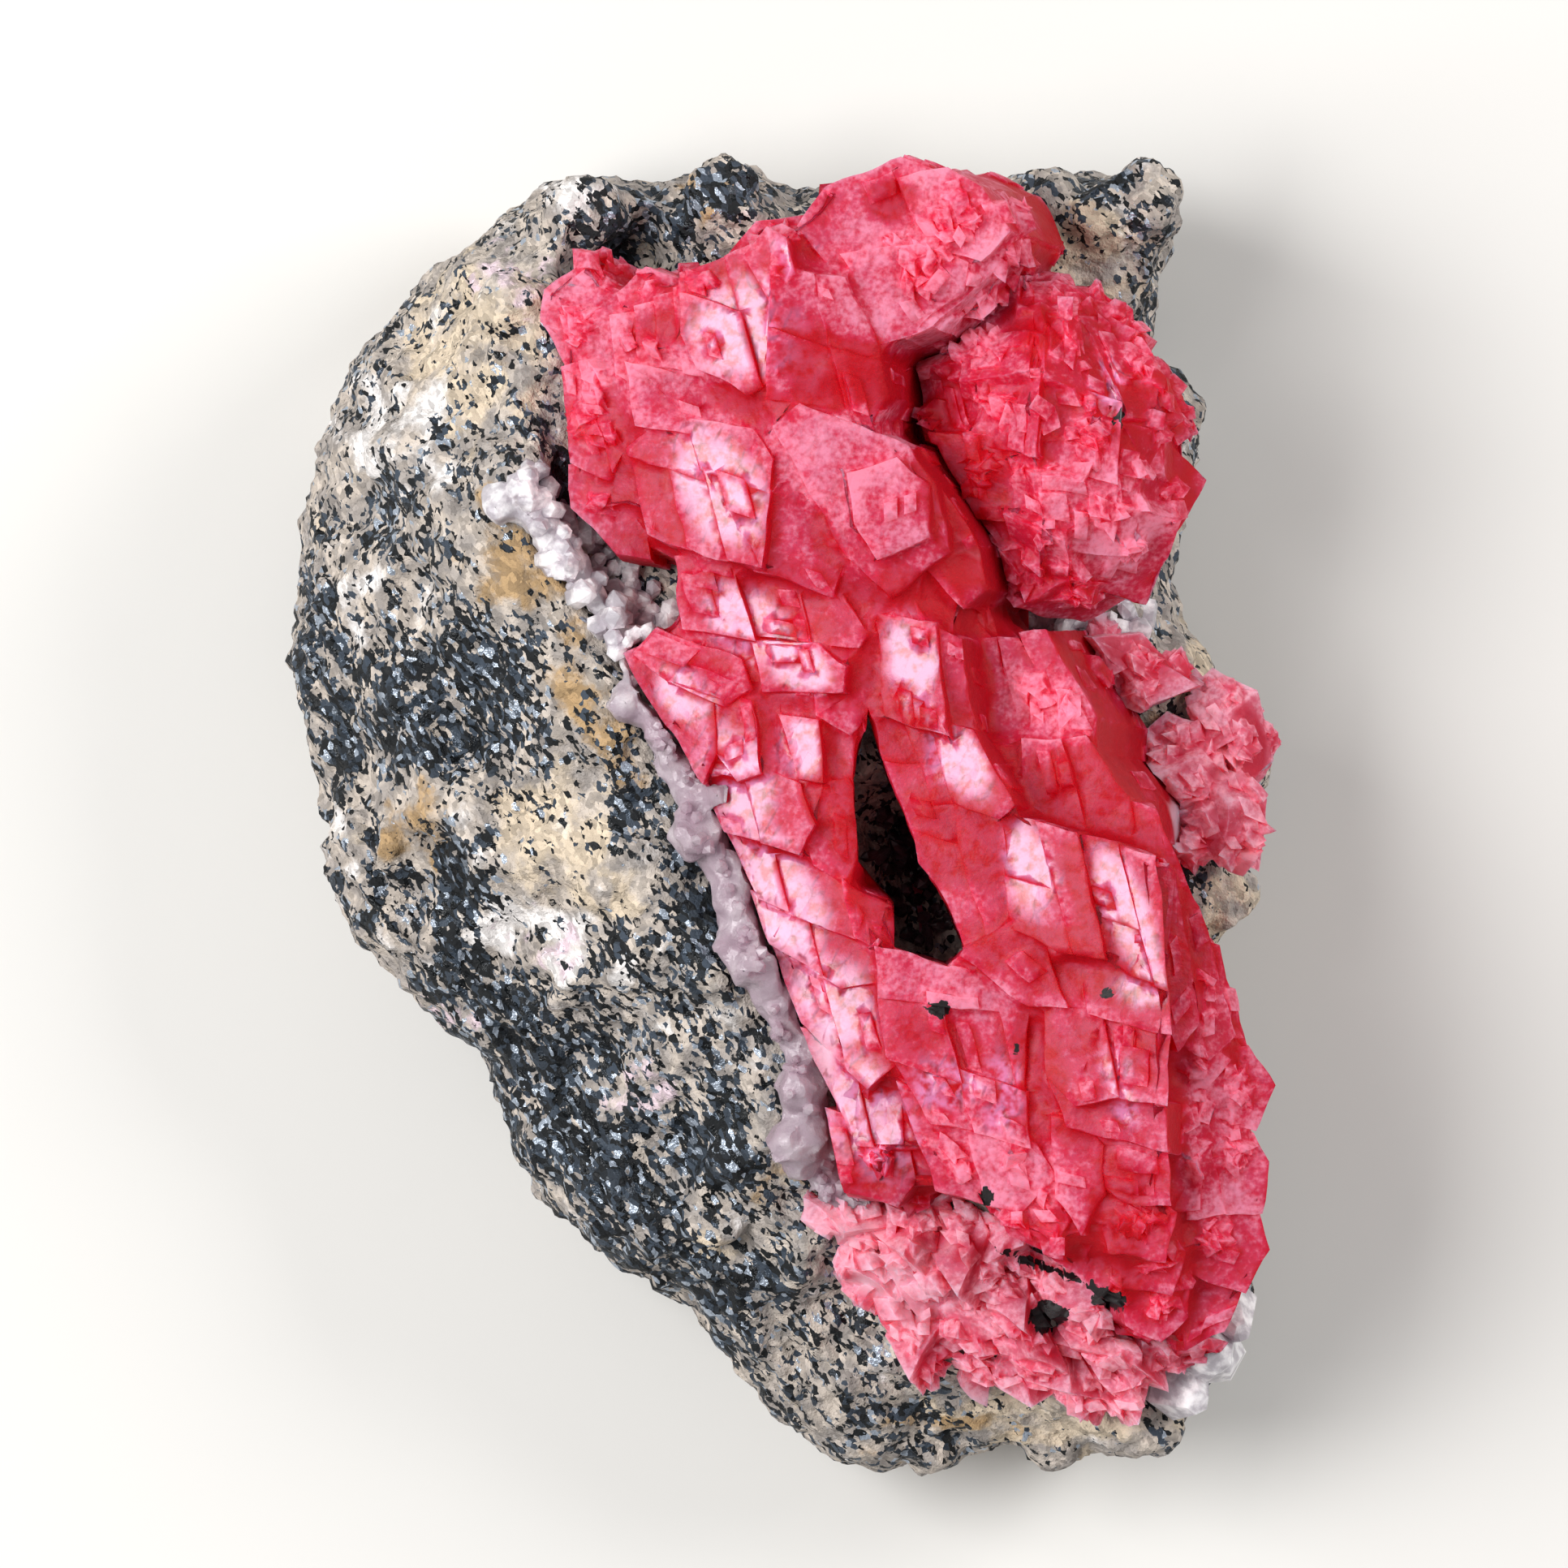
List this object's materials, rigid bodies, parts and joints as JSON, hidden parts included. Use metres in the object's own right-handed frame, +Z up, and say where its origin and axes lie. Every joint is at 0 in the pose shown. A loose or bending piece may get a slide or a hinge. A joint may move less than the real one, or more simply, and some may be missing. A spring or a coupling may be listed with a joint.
{
  "type": "rhodochrosite specimen",
  "caption": "Hand-sized rhodochrosite specimen: stepped red rhombohedral crystals with quartz in a pocket of black and cream banded matrix rock, lying on its sawn back",
  "frame": {"origin": "middle of the footprint on the surface that the specimen lies on, in the plane of its sawn back", "axes": "+Y from the foot of the specimen to its head, +X to the right with the crystals facing up, +Z up out of the crystal face"},
  "size_m": [0.075, 0.1002, 0.0424],
  "materials": {
    "matrix_rock": "rough natural fracture, sawn flat on the back",
    "rhodochrosite": "glossy translucent cleavage faces",
    "rhodochrosite_pale": "satin translucent small crystals",
    "milky_quartz": "milky translucent crystals",
    "dark_druse": "sparkling dark crystal crust"
  },
  "bodies": {
    "root": {"matrix_rock": "matrix_rock", "rhodochrosite_cluster": "rhodochrosite", "rhodochrosite_dome": "rhodochrosite", "rhodochrosite_crust": "rhodochrosite_pale", "rhodochrosite_upper_patch": "rhodochrosite_pale", "rhodochrosite_lower_patch": "rhodochrosite_pale", "quartz_vein": "milky_quartz", "quartz_druse": "milky_quartz", "quartz_corner": "milky_quartz", "hollow_druse": "dark_druse"}
  },
  "joints": []
}
